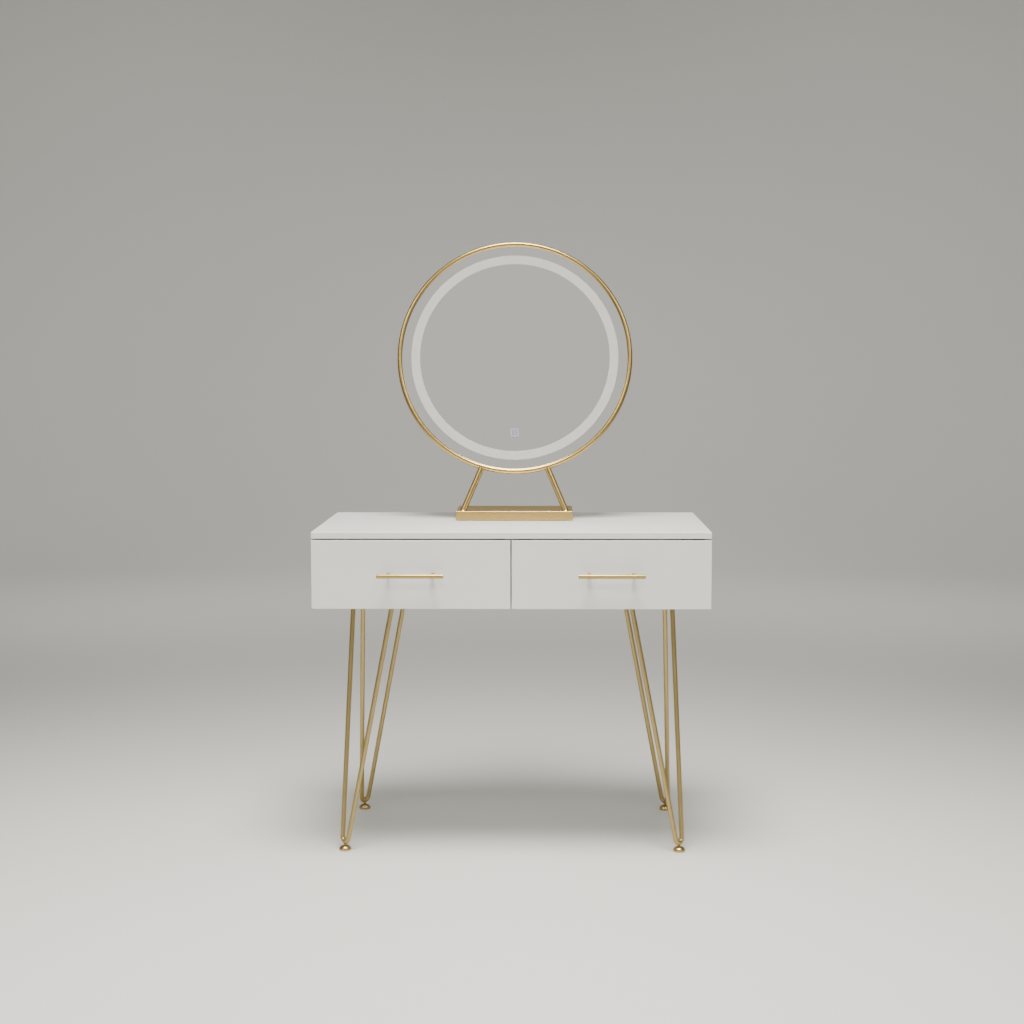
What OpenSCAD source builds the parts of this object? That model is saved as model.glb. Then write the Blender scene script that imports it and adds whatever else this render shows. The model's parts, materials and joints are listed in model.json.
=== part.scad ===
// Vanity table with two drawers, hairpin legs and a free-standing round mirror.
// Millimetres. +Z is up, the front faces -Y, and the origin is on the floor
// under the middle of the whole object, handles included.

/* [Table] */
// Width of the table top
top_w = 900; // [800:10:1100]
// Depth of the table top
top_d = 500; // [480:10:560]
// Height of the table top above the floor
top_h = 748; // [700:1:800]
// Thickness of the top board
top_t = 15; // [15:1:25]
// Rounding of the top board's upper edges
top_edge_r = 2; // [1:0.5:4]
// Thickness of the side panels and the divider
panel_t = 15; // [15:1:18]

/* [Drawers] */
// Height of the drawer fronts
front_h = 155.5; // [150:0.5:180]
// Thickness of the drawer fronts
front_t = 16; // [15:1:19]
// Gap between the two drawer fronts
front_gap = 3; // [2:0.5:5]
// Shadow gap between the top board and the drawer fronts
reveal = 3.2; // [2:0.2:6]
// Depth of the drawer boxes behind their fronts
box_d = 430; // [400:10:440]
// Height of the drawer boxes
box_h = 110; // [100:5:120]
// Thickness of the drawer box boards
box_t = 12; // [10:1:15]

/* [Handles] */
// Length of each handle bar
handle_len = 150; // [130:5:220]
// Diameter of each handle bar
handle_d = 10; // [8:0.5:14]
// Distance between the two posts of a handle
post_spacing = 100; // [80:4:120]
// Reach of a handle in front of its drawer front
handle_reach = 35; // [30:1:45]

/* [Hairpin legs] */
// Diameter of the leg rods
rod_d = 11; // [9:0.5:13]
// Sideways distance from the table's middle to the front feet
front_foot_x = 387; // [360:1:400]
// Sideways distance from the table's middle to the rear feet
rear_foot_x = 380; // [360:1:400]
// Distance of the feet from the front and rear edges of the top
foot_inset = 65; // [55:1:80]
// Long side of the spread of the rods at the plate, seen from the foot
rod_spread = 112.7; // [100:0.1:116]
// Short side of the spread of the rods at the plate
rod_offset = 12.6; // [8:0.1:20]

/* [Mirror] */
// Outer diameter of the mirror's ring
ring_d = 570; // [500:5:600]
// Diameter of the ring's tube
tube_d = 12; // [12:1:14]
// Backward lean of the mirror, in degrees
lean = 11; // [6:1:15]
// Height of the ring's centre above the table top
ring_up = 391; // [380:1:430]
// Sideways place of the mirror on the table top
mirror_x = 3; // [-20:1:20]
// Width of the mirror's base
base_w = 280; // [270:5:340]
// Depth of the mirror's base
base_d = 156; // [120:2:180]
// Height of the mirror's base above the table top
base_h = 23; // [20:1:30]
// Distance of the base's front edge from the middle of the top's depth
base_set_back = 21.5; // [0:0.5:40]
// Diameter of the two struts
strut_d = 14; // [10:1:16]

/* [Hidden] */
$fn = 96;

// Everything that meets in depth, from the drawers' front faces backwards.
front_y = (handle_reach - top_d) / 2;
back_y = front_y + top_d;
mid_y = front_y + top_d / 2;
back_t = 12;
stop_gap = 1;
panel_y0 = front_y + front_t + stop_gap;
inner_back_y = back_y - back_t;

// Heights of the boards.
top_z0 = top_h - top_t;
front_z0 = top_z0 - reveal - front_h;
floor_t = 12;
carcass_z0 = front_z0 + 2;
floor_z1 = carcass_z0 + floor_t;
inner_x = top_w / 2 - panel_t;
front_edge_r = 1.2;
small_r = 1;

// Drawer boxes and their ball-bearing slides.
slide_w = 12.7;
slide_h = 35;
slide_len = 400;
slide_gap = 1.6;
slide_up = 57.7;
slide_setback = 3;
outer_sheet = 1.2;
middle_sheet = 1;
middle_x = 3.5;
middle_w = 8.5;
middle_h = slide_h - 2 * (outer_sheet + slide_gap);
inner_h = middle_h - 2 * (middle_sheet + slide_gap);
inner_w = 7.2;
slide_screw_y = [40, 200, 360];
wall_bite = 6;
box_bite = 8.8;
bay_w = inner_x - panel_t / 2;
bay_x = panel_t / 2 + bay_w / 2;
box_w = bay_w - 2 * slide_w;
box_y0 = front_y + front_t;
box_y1 = box_y0 + box_d;
box_z0 = floor_z1 + 4;
slide_z = box_z0 + slide_up;
tray_t = 5;
tray_z0 = box_z0 + 8;
groove = 6;
box_screw_d = 5;
box_screw_len = 45;
front_w = (top_w - front_gap) / 2;
front_x = (front_w + front_gap) / 2;
handle_y = front_y - handle_reach + handle_d / 2;
handle_z = front_z0 + front_h / 2;
post_d = 8;
handle_screw_bite = 10;

// Legs: each is worked out from its foot, with x and y towards the table's middle.
plate_t = 4;
plate_z0 = carcass_z0 - plate_t;
plate_edge = 4;
plate_len = 132;
plate_tip = 30;
bend_r = 10.8;
bend_z = 20.5;
spread = (rod_spread - rod_offset) * sqrt(2);
rise = plate_z0 + plate_t / 3 - bend_z;
run = (rod_spread + rod_offset) / sqrt(2);
leg_lean = atan2(run, rise);
leg_len = sqrt(run * run + rise * rise);
arm_rise = leg_len - bend_r;
arm_reach = sqrt(arm_rise * arm_rise + spread * spread / 4);
arm_angle = atan2(spread / 2, arm_rise) - asin(bend_r / arm_reach);
arm_len = sqrt(arm_reach * arm_reach - bend_r * bend_r);
plate_holes = [[10, 10], [62, 10], [10, 62], [72, 72]];

// Levelling feet.
foot_d = 28;
foot_h = 12.5;
foot_rim = 3;
stud_d = 6;
stud_top = 30;
stud_clear = 0.05;

// Cam fittings: [point on the joint, rotation, half of the cam board's thickness].
// +z of each goes into the board that takes the bolt, and +x to the cam's open face.
cam_d = 15;
cam_back = 24;
cam_skin = 2.5;
bolt_d = 6;
bolt_bite = 10;
bolt_clear = 0.2;
dowel_d = 8;
dowel_back = 20;
dowel_shift = 32;
fix_y = [panel_y0 + 50, inner_back_y - 70];
fix_x = [-bay_x, bay_x];
floor_mid_z = carcass_z0 + floor_t / 2;
side_mid_x = inner_x + panel_t / 2;
CAM_FITTINGS = concat(
    [for (y = fix_y) [[-side_mid_x, y, top_z0], [0, 0, 0], panel_t / 2]],
    [for (y = fix_y) [[side_mid_x, y, top_z0], [0, 0, 180], panel_t / 2]],
    [for (y = fix_y) [[0, y, top_z0], [0, 0, 0], panel_t / 2]],
    [for (x = fix_x) [[x, back_y - back_t / 2, top_z0], [0, 0, -90], back_t / 2]],
    [for (y = fix_y) [[-inner_x, y, floor_mid_z], [0, -90, 0], floor_t / 2]],
    [for (y = fix_y) [[inner_x, y, floor_mid_z], [0, -90, 180], floor_t / 2]]
);
DOWEL_FITTINGS = [for (i = [0:5]) CAM_FITTINGS[i]];

// Mirror.
pad_t = 1;
base_wall = 1.5;
base_r = 2;
base_plate_t = 5;
base_y0 = mid_y + base_set_back;
base_y1 = base_y0 + base_d;
base_z0 = top_h + pad_t;
base_z1 = top_h + base_h;
strut_set_back = 12;
ring_z = top_h + ring_up;
ring_y = base_y0 + strut_set_back + (ring_up - base_h) * tan(lean);
ring_r = (ring_d - tube_d) / 2;
glass_front = 2;
glass_t = 4;
glass_r = ring_r - 4;
glass_back = glass_front - glass_t;
seat_back = -5.5;
sheet = 1.2;
pan_depth = 20;
pan_r = ring_r - 16;
flange_r = ring_r + 2.4;
cover_screw_d = 3;
cover_screws_n = 8;
band_r = 240.5;
diffuser_r = 226;
led_w = 8;
led_t = 1.8;
strut_foot_x = 123.5;
strut_head_x = 78;
strut_short = 3;
strut_head_y = -sqrt(ring_r * ring_r - strut_head_x * strut_head_x);
strut_foot_y = -(ring_up - base_h) / cos(lean);
touch_y = -186;
touch_size = 24;
touch_t = 1.6;
driver_size = [60, 40, 9];
driver_y = -162;
jack_y = -212;
jack_d = 11;
jack_bore = 5.6;
jack_pin = 2;
jack_len = 11;
jack_lip = 1.5;
lead_d = 2;
pan_floor = -pan_depth + sheet;

lacquer = [0.93, 0.93, 0.91];
carcass_white = [0.88, 0.88, 0.86];
gold = [0.80, 0.67, 0.42];
zinc = [0.70, 0.71, 0.73];

// ---------- shared shapes ----------

// A flat outline with rounded corners, from the origin to w by h.
module round_rect(w, h, r) {
    translate([r, 0]) square([w - 2 * r, h]);
    translate([0, r]) square([w, h - 2 * r]);
    for (x = [r, w - r], y = [r, h - r]) translate([x, y]) circle(r = r);
}

// A flat outline with only its two upper corners rounded.
module round_top(w, h, r) {
    translate([r, 0]) square([w - 2 * r, h]);
    square([w, h - r]);
    for (x = [r, w - r]) translate([x, h - r]) circle(r = r);
}

// A block from the origin with its upper edges rounded.
module block_round_top(w, d, h, r) {
    intersection() {
        translate([0, d, 0]) rotate([90, 0, 0]) linear_extrude(d) round_top(w, h, r);
        rotate([90, 0, 90]) linear_extrude(w) round_top(d, h, r);
    }
}

// A board standing in the XZ plane with its front face towards -Y, all edges of that face rounded.
module face_board(w, t, h, r) {
    translate([0, t, 0]) rotate([90, 0, 0]) block_round_top(w, h, t, r);
}

// A pan-head screw: head below the origin, shank up along +z. With no head it makes the hole.
module pan_screw(head_d, head_h, shank_d, length) {
    if (head_h > 0) translate([0, 0, -head_h]) cylinder(d = head_d, h = head_h);
    cylinder(d = shank_d, h = length);
}

module at_fitting(f) {
    translate(f[0]) rotate(f[1]) children();
}

module cam_disc(half_t) {
    depth = 2 * half_t - cam_skin;
    translate([half_t - depth, 0, -cam_back]) rotate([0, 90, 0]) cylinder(d = cam_d, h = depth);
}

module cam_bolt(clear = 0) {
    translate([0, 0, -cam_back - clear])
        cylinder(d = bolt_d + 2 * clear, h = cam_back + clear + bolt_bite);
}

module dowel() {
    translate([0, dowel_shift, -dowel_back]) cylinder(d = dowel_d, h = dowel_back + bolt_bite);
}

// All the holes that the cam fittings and dowels need in the carcass boards.
module fitting_holes() {
    for (f = CAM_FITTINGS) at_fitting(f) {
        cam_disc(f[2]);
        cam_bolt();
    }
    for (f = DOWEL_FITTINGS) at_fitting(f) dowel();
}

// ---------- carcass ----------

module top_board() {
    color(lacquer) difference() {
        translate([-top_w / 2, front_y, top_z0]) block_round_top(top_w, top_d, top_t, top_edge_r);
        fitting_holes();
    }
}

module side_panel(side) {
    x0 = side < 0 ? -top_w / 2 : inner_x;
    color(lacquer) difference() {
        translate([x0, panel_y0, carcass_z0])
            cube([panel_t, back_y - panel_y0, top_z0 - carcass_z0]);
        fitting_holes();
        both_walls(side) wall_screw_set(0);
    }
}

module bottom_panel() {
    color(lacquer) difference() {
        translate([-inner_x, panel_y0, carcass_z0])
            cube([2 * inner_x, inner_back_y - panel_y0, floor_t]);
        fitting_holes();
        leg_screw_holes();
    }
}

module back_panel() {
    color(lacquer) difference() {
        translate([-inner_x, inner_back_y, carcass_z0])
            cube([2 * inner_x, back_t, top_z0 - carcass_z0]);
        fitting_holes();
    }
}

module divider_panel() {
    color(carcass_white) difference() {
        translate([-panel_t / 2, panel_y0, floor_z1])
            cube([panel_t, inner_back_y - panel_y0, top_z0 - floor_z1]);
        fitting_holes();
        for (side = [-1, 1]) both_walls(side) wall_screw_set(0);
    }
}

module cam_locks() {
    color(zinc) difference() {
        for (f = CAM_FITTINGS) at_fitting(f) cam_disc(f[2]);
        for (f = CAM_FITTINGS) at_fitting(f) cam_bolt(bolt_clear);
    }
}

module cam_bolts() {
    color(zinc) for (f = CAM_FITTINGS) at_fitting(f) cam_bolt();
}

module wood_dowels() {
    color("burlywood") for (f = DOWEL_FITTINGS) at_fitting(f) dowel();
}

// ---------- drawer slides ----------

// An open channel, web at x = 0 and opening towards +x.
module channel(w, h, t) {
    translate([0, -h / 2]) difference() {
        square([w, h]);
        translate([t, t]) square([w, h - 2 * t]);
    }
}

module slide_rail(w, h, t, x, flip) {
    translate([0, panel_y0 + slide_setback + slide_len, slide_z]) rotate([90, 0, 0])
        linear_extrude(slide_len)
            translate([x, 0]) mirror([flip, 0, 0]) channel(w, h, t);
}

// Puts its child on both walls of one drawer bay, facing the drawer.
module both_walls(side) {
    translate([side * bay_x - bay_w / 2, 0, 0]) children();
    translate([side * bay_x + bay_w / 2, 0, 0]) mirror([1, 0, 0]) children();
}

// Three flat screws along a slide, from depth x into the wall (turn -1) or the drawer (turn 1).
module screw_row(x, turn, head, length) {
    for (y = slide_screw_y) translate([x, panel_y0 + slide_setback + y, slide_z])
        rotate([0, 90 * turn, 0]) pan_screw(7, head, 3.5, length);
}

module wall_screw_set(head) {
    screw_row(outer_sheet, -1, head, outer_sheet + wall_bite);
}

module box_screw_set(head) {
    screw_row(slide_w - outer_sheet, 1, head, outer_sheet + box_bite);
}

module slide_outer_members(side) {
    color(zinc) difference() {
        both_walls(side) slide_rail(10, slide_h, outer_sheet, 0, 0);
        both_walls(side) wall_screw_set(0);
    }
}

module slide_middle_members(side) {
    color(zinc) both_walls(side) slide_rail(middle_w, middle_h, middle_sheet, middle_x, 0);
}

module slide_inner_members(side) {
    color(zinc) difference() {
        both_walls(side) slide_rail(inner_w, inner_h, outer_sheet, slide_w, 1);
        both_walls(side) box_screw_set(0);
    }
}

module slide_screws() {
    color(zinc) for (side = [-1, 1]) both_walls(side) wall_screw_set(1);
}

// ---------- drawers ----------

// The drawer's own cam fittings: cams in the two side boards, bolts into the front.
module at_drawer_cams(side) {
    for (end = [-1, 1], z = [box_z0 + 30, box_z0 + box_h - 20])
        translate([side * bay_x + end * (box_w / 2 - box_t / 2), box_y0, z])
            rotate([90, 0, 0]) rotate([0, 0, end > 0 ? 180 : 0]) children();
}

module drawer_cam_holes(side) {
    at_drawer_cams(side) {
        cam_disc(box_t / 2);
        cam_bolt();
    }
}

// Screws through the side boards into the ends of the drawer's back.
module box_screws(side) {
    for (end = [-1, 1], z = [box_z0 + 35, box_z0 + box_h - 25])
        translate([side * bay_x + end * box_w / 2, box_y1 - box_t / 2, z])
            rotate([0, -90 * end, 0]) cylinder(d = box_screw_d, h = box_screw_len);
}

module drawer_front(side) {
    color(lacquer) difference() {
        translate([side * front_x - front_w / 2, front_y, front_z0])
            face_board(front_w, front_t, front_h, front_edge_r);
        tray(side);
        drawer_cam_holes(side);
        handle_screw_set(side, 0);
    }
}

module drawer_side(side, end) {
    x_mid = side * bay_x + end * (box_w / 2 - box_t / 2);
    color(carcass_white) difference() {
        translate([x_mid - box_t / 2, box_y0, box_z0]) cube([box_t, box_d, box_h]);
        tray(side);
        drawer_cam_holes(side);
        box_screws(side);
        both_walls(side) box_screw_set(0);
    }
}

module drawer_back(side) {
    color(carcass_white) difference() {
        translate([side * bay_x - box_w / 2 + box_t, box_y1 - box_t, tray_z0 + tray_t])
            cube([box_w - 2 * box_t, box_t, box_h - (tray_z0 + tray_t - box_z0)]);
        box_screws(side);
    }
}

// The drawer's bottom sheet, held in grooves in the sides and the front.
module tray(side) {
    color(carcass_white)
        translate([side * bay_x - box_w / 2 + box_t - groove, box_y0 - groove, tray_z0])
            cube([box_w - 2 * (box_t - groove), box_d + groove, tray_t]);
}

module drawer_cam_fittings(side) {
    color(zinc) {
        difference() {
            at_drawer_cams(side) cam_disc(box_t / 2);
            at_drawer_cams(side) cam_bolt(bolt_clear);
        }
        at_drawer_cams(side) cam_bolt();
    }
}

module drawer_screws(side) {
    color(zinc) {
        box_screws(side);
        both_walls(side) box_screw_set(1);
    }
}

// ---------- handles ----------

module handle_bar(side) {
    edge = 0.6;
    color(gold) translate([side * front_x - handle_len / 2, handle_y, handle_z])
        rotate([0, 90, 0]) rotate_extrude()
            polygon([
                [0, 0], [handle_d / 2 - edge, 0], [handle_d / 2, edge],
                [handle_d / 2, handle_len - edge], [handle_d / 2 - edge, handle_len], [0, handle_len]
            ]);
}

module at_posts(side) {
    for (end = [-1, 1]) translate([side * front_x + end * post_spacing / 2, 0, handle_z])
        children();
}

module handle_posts(side) {
    color(gold) difference() {
        at_posts(side) translate([0, front_y, 0]) rotate([90, 0, 0])
            cylinder(d = post_d, h = front_y - handle_y);
        translate([side * front_x - handle_len / 2, handle_y, handle_z])
            rotate([0, 90, 0]) cylinder(d = handle_d, h = handle_len);
        handle_screw_set(side, 0);
    }
}

module handle_screw_set(side, head) {
    at_posts(side) translate([0, box_y0, 0]) rotate([90, 0, 0])
        pan_screw(8, head, 4, front_t + handle_screw_bite);
}

module handle_screws(side) {
    color(zinc) handle_screw_set(side, 2.5);
}

// ---------- hairpin legs ----------

// Puts a leg or foot at one corner, with its own x and y towards the table's middle.
module at_corner(side, depth) {
    x = side * (depth < 0 ? front_foot_x : rear_foot_x);
    y = mid_y + depth * (top_d / 2 - foot_inset);
    translate([x, y, 0])
        mirror([side > 0 ? 1 : 0, 0, 0]) mirror([0, depth > 0 ? 1 : 0, 0]) children();
}

// One straight arm of the V, from its tangent point on the bend up to the plate.
module arm() {
    rotate([0, arm_angle, 0]) translate([bend_r, 0, 0]) cylinder(d = rod_d, h = arm_len);
}

module bent_rod() {
    rotate([0, 0, -45]) translate([0, 0, bend_z]) rotate([-leg_lean, 0, 0])
        translate([0, 0, bend_r]) {
            arm();
            mirror([1, 0, 0]) arm();
            rotate([90, 0, 0]) rotate_extrude(start = 180 + arm_angle, angle = 180 - 2 * arm_angle)
                translate([bend_r, 0]) circle(d = rod_d);
        }
}

module leg_plate() {
    translate([0, 0, plate_z0]) linear_extrude(plate_t)
        difference() {
            polygon([
                [-plate_edge, -plate_edge], [plate_len, -plate_edge], [plate_len, plate_tip],
                [plate_tip, plate_len], [-plate_edge, plate_len]
            ]);
            for (p = plate_holes) translate(p) circle(d = 5);
        }
}

module leg(side, depth) {
    color(gold) at_corner(side, depth) difference() {
        union() {
            bent_rod();
            leg_plate();
        }
        cylinder(d = stud_d + 2 * stud_clear, h = 2 * stud_top);
    }
}

module each_corner() {
    for (side = [-1, 1], depth = [-1, 1]) at_corner(side, depth) children();
}

module leg_screw_holes() {
    each_corner() for (p = plate_holes) translate([p[0], p[1], plate_z0])
        cylinder(d = 4, h = plate_t + 9);
}

module leg_screws() {
    color(gold) each_corner() for (p = plate_holes) translate([p[0], p[1], plate_z0])
        pan_screw(9, 2.5, 4, plate_t + 9);
}

// A domed glide on a threaded stud, which turns in the bend of the leg.
module foot(side, depth) {
    cap_rise = foot_h - foot_rim;
    cap_r = (foot_d * foot_d / 4 + cap_rise * cap_rise) / (2 * cap_rise);
    color(gold) at_corner(side, depth) {
        rotate_extrude() intersection() {
            translate([0, foot_h - cap_r]) circle(r = cap_r);
            translate([0, 0]) square([foot_d / 2, foot_h]);
        }
        translate([0, 0, foot_h / 2]) cylinder(d = stud_d, h = stud_top - foot_h / 2);
    }
}

// ---------- mirror stand ----------

module base_outline(inset, r) {
    translate([mirror_x - base_w / 2 + inset, base_y0 + inset])
        round_rect(base_w - 2 * inset, base_d - 2 * inset, r);
}

module mirror_base() {
    color(gold) difference() {
        intersection() {
            translate([0, 0, base_z0]) linear_extrude(base_z1 - base_z0) base_outline(0, base_r);
            translate([mirror_x - base_w / 2, base_y0, base_z0])
                block_round_top(base_w, base_d, base_z1 - base_z0, small_r);
        }
        translate([0, 0, base_z0 - 1])
            linear_extrude(base_z1 - base_wall - base_z0 + 1) base_outline(base_wall, small_r);
    }
}

module mirror_base_plate() {
    color(zinc) translate([0, 0, base_z0])
        linear_extrude(base_plate_t) base_outline(base_wall, small_r);
}

module mirror_base_pads() {
    pad_in = 18;
    color([0.1, 0.1, 0.1])
        for (x = [-1, 1] * (base_w / 2 - pad_in), y = [base_y0 + pad_in, base_y1 - pad_in])
            translate([mirror_x + x, y, top_h]) cylinder(d = 18, h = pad_t);
}

// The mirror's own frame: x to the right, y up the glass, z out of the glass.
module at_ring() {
    translate([mirror_x, ring_y, ring_z]) rotate([90 - lean, 0, 0]) children();
}

module ring_tube() {
    rotate_extrude() translate([ring_r, 0]) circle(d = tube_d);
}

// One strut, from the top of the base to the underside of the ring.
module strut(end) {
    dx = strut_foot_x - strut_head_x;
    dy = strut_head_y - strut_foot_y;
    over = 20;
    color(gold) difference() {
        at_ring() translate([end * strut_head_x, strut_head_y, 0])
            rotate([90, 0, end * atan2(dx, dy)])
                translate([0, 0, strut_short])
                    cylinder(d = strut_d, h = sqrt(dx * dx + dy * dy) + over);
        translate([mirror_x - base_w, base_y0 - base_d, base_z1 - 2 * over])
            cube([2 * base_w, 3 * base_d, 2 * over]);
        at_ring() ring_tube();
    }
}

// ---------- lit mirror ----------

module ring_frame() {
    color(gold) at_ring() difference() {
        rotate_extrude() difference() {
            translate([ring_r, 0]) circle(d = tube_d);
            translate([0, seat_back - tube_d]) square([ring_r + tube_d, tube_d]);
            translate([0, seat_back - 1]) square([glass_r + 0.2, glass_front - seat_back + 1]);
        }
        cover_screw_set(0);
    }
}

module mirror_glass() {
    color([0.72, 0.74, 0.75]) at_ring() translate([0, 0, glass_back])
        cylinder(r = glass_r, h = glass_t, $fn = 180);
}

module ring_plate(r_in, r_out, z0, z1) {
    rotate_extrude() translate([r_in, z0]) square([r_out - r_in, z1 - z0]);
}

module light_diffuser() {
    color([0.95, 0.95, 0.92]) at_ring() ring_plate(diffuser_r, glass_r, seat_back, glass_back);
}

module led_strip() {
    color([1, 0.97, 0.85]) at_ring()
        ring_plate(band_r - led_w / 2, band_r + led_w / 2, pan_floor, pan_floor + led_t);
}

module back_cover() {
    flange_back = seat_back - sheet;
    color([0.85, 0.85, 0.84]) at_ring() difference() {
        rotate_extrude() polygon([
            [0, -pan_depth], [pan_r, -pan_depth], [pan_r, flange_back], [flange_r, flange_back],
            [flange_r, seat_back], [pan_r - sheet, seat_back], [pan_r - sheet, pan_floor], [0, pan_floor]
        ]);
        cover_screw_set(0);
        translate([0, jack_y, -pan_depth - 1]) cylinder(d = jack_d, h = jack_len);
    }
}

module cover_screw_set(head) {
    for (i = [0:cover_screws_n - 1]) rotate([0, 0, 360 * (i + 0.5) / cover_screws_n])
        translate([ring_r, 0, seat_back - sheet])
            pan_screw(5, head, cover_screw_d, sheet + 4.5);
}

module back_cover_screws() {
    color(zinc) at_ring() cover_screw_set(1.6);
}

module led_driver() {
    color([0.15, 0.35, 0.2]) at_ring()
        translate([-driver_size[0] / 2, driver_y - driver_size[1] / 2, pan_floor])
            cube(driver_size);
}

module touch_sensor() {
    color([0.1, 0.3, 0.15]) at_ring()
        translate([-touch_size / 2, touch_y - touch_size / 2, glass_back - touch_t])
            cube([touch_size, touch_size, touch_t]);
}

// A barrel socket through the cover, with its contact pin inside.
module power_inlet() {
    color([0.12, 0.12, 0.12]) at_ring() translate([0, jack_y, -pan_depth - jack_lip]) {
        difference() {
            union() {
                cylinder(d = jack_d + 4, h = jack_lip);
                cylinder(d = jack_d, h = jack_len + jack_lip);
            }
            translate([0, 0, -1]) cylinder(d = jack_bore, h = jack_len);
        }
        translate([0, 0, 1]) cylinder(d = jack_pin, h = jack_len);
    }
}

module inner_leads() {
    lead_z = pan_floor + 3;
    driver_x1 = driver_size[0] / 2;
    driver_y0 = driver_y - driver_size[1] / 2;
    led_x = sqrt(pow(band_r - led_w / 2, 2) - driver_y * driver_y);
    color([0.75, 0.1, 0.1]) at_ring() {
        translate([0, driver_y0, lead_z]) rotate([90, 0, 0])
            cylinder(d = lead_d, h = driver_y0 - jack_y - jack_d / 2);
        translate([driver_x1, driver_y, pan_floor + lead_d / 2]) rotate([0, 90, 0])
            cylinder(d = lead_d, h = led_x - driver_x1 - 1);
        translate([8, touch_y + 8, pan_floor + driver_size[2]])
            cylinder(d = lead_d, h = glass_back - touch_t - pan_floor - driver_size[2]);
    }
}

top_board();
side_panel(-1);  // side_panel_left
side_panel(1);  // side_panel_right
bottom_panel();
back_panel();
divider_panel();
cam_locks();
cam_bolts();
wood_dowels();
slide_outer_members(-1);  // left_slide_outer_members
slide_outer_members(1);  // right_slide_outer_members
slide_screws();
leg(-1, -1);  // front_left_leg
leg(1, -1);  // front_right_leg
leg(-1, 1);  // rear_left_leg
leg(1, 1);  // rear_right_leg
leg_screws();
slide_middle_members(-1);  // left_slide_middle_members
slide_middle_members(1);  // right_slide_middle_members
drawer_front(-1);  // left_drawer_front
drawer_side(-1, -1);  // left_drawer_side_outer
drawer_side(-1, 1);  // left_drawer_side_inner
drawer_back(-1);  // left_drawer_back
tray(-1);  // left_drawer_bottom
slide_inner_members(-1);  // left_slide_inner_members
handle_bar(-1);  // left_handle_bar
handle_posts(-1);  // left_handle_posts
handle_screws(-1);  // left_handle_screws
drawer_cam_fittings(-1);  // left_drawer_cam_fittings
drawer_screws(-1);  // left_drawer_screws
drawer_front(1);  // right_drawer_front
drawer_side(1, 1);  // right_drawer_side_outer
drawer_side(1, -1);  // right_drawer_side_inner
drawer_back(1);  // right_drawer_back
tray(1);  // right_drawer_bottom
slide_inner_members(1);  // right_slide_inner_members
handle_bar(1);  // right_handle_bar
handle_posts(1);  // right_handle_posts
handle_screws(1);  // right_handle_screws
drawer_cam_fittings(1);  // right_drawer_cam_fittings
drawer_screws(1);  // right_drawer_screws
foot(-1, -1);  // front_left_foot
foot(1, -1);  // front_right_foot
foot(-1, 1);  // rear_left_foot
foot(1, 1);  // rear_right_foot
mirror_base();
mirror_base_plate();
mirror_base_pads();
strut(-1);  // left_strut
strut(1);  // right_strut
ring_frame();
mirror_glass();
light_diffuser();
led_strip();
back_cover();
back_cover_screws();
led_driver();
touch_sensor();
power_inlet();
inner_leads();
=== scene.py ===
import json
import math

import bmesh
import bpy
from mathutils import Matrix, Vector, noise


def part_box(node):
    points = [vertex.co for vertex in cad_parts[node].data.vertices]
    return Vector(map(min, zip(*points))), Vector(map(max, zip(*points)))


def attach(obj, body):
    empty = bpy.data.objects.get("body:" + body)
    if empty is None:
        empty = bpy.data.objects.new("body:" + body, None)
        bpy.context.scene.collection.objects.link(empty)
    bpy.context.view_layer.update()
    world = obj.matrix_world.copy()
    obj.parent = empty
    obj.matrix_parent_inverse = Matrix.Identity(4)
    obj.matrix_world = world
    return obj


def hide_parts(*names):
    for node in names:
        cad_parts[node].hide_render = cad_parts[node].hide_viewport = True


# A white dressing table on gold hairpin legs, with a round lit mirror standing on it.
# The meshes are made in millimetres in the CAD frame and scaled to metres at the end.
# Places and outer sizes come from the CAD nodes' boxes. A size that no box gives is named
# at the top of its section, in millimetres.

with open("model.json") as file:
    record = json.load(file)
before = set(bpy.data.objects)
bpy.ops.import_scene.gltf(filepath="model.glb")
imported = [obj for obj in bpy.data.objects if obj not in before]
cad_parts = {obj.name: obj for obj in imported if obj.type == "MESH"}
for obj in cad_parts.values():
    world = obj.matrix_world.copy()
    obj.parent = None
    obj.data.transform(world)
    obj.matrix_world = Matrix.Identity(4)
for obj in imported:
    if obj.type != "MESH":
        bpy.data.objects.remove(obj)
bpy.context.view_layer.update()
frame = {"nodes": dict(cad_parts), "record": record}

MM = 0.001
SIDES = ("left", "right")
CORNERS = [(end, side) for end in ("front", "rear") for side in SIDES]


def box_mm(node):
    """Lowest and highest corner of a CAD node, in millimetres."""
    low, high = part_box(node)
    return Vector(low) / MM, Vector(high) / MM


def middle(node):
    low, high = box_mm(node)
    return (low + high) / 2


# ---------------------------------------------------------------- materials
# Colours are linear. Relief is in metres, and a pattern's scale is in repeats per metre.

PATTERN_SPAN = (0.3, 0.7)  # the part of a pattern's 0 to 1 that holds nearly all of it
# Scales for each axis that draw a pattern out along one axis, or leave it even.
ALONG_X, ALONG_Y, ALONG_Z = (0.04, 1.0, 1.0), (1.0, 0.12, 1.0), (1.0, 1.0, 0.04)
EVEN = (1.0, 1.0, 1.0)


def shade(color, factor):
    return tuple(c * factor for c in color)


def set_ramp(node, places, colors):
    """Gives a colour ramp node its two stops."""
    for stop, place, color in zip(node.color_ramp.elements, places, colors):
        stop.position, stop.color = place, (*color, 1)


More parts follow.
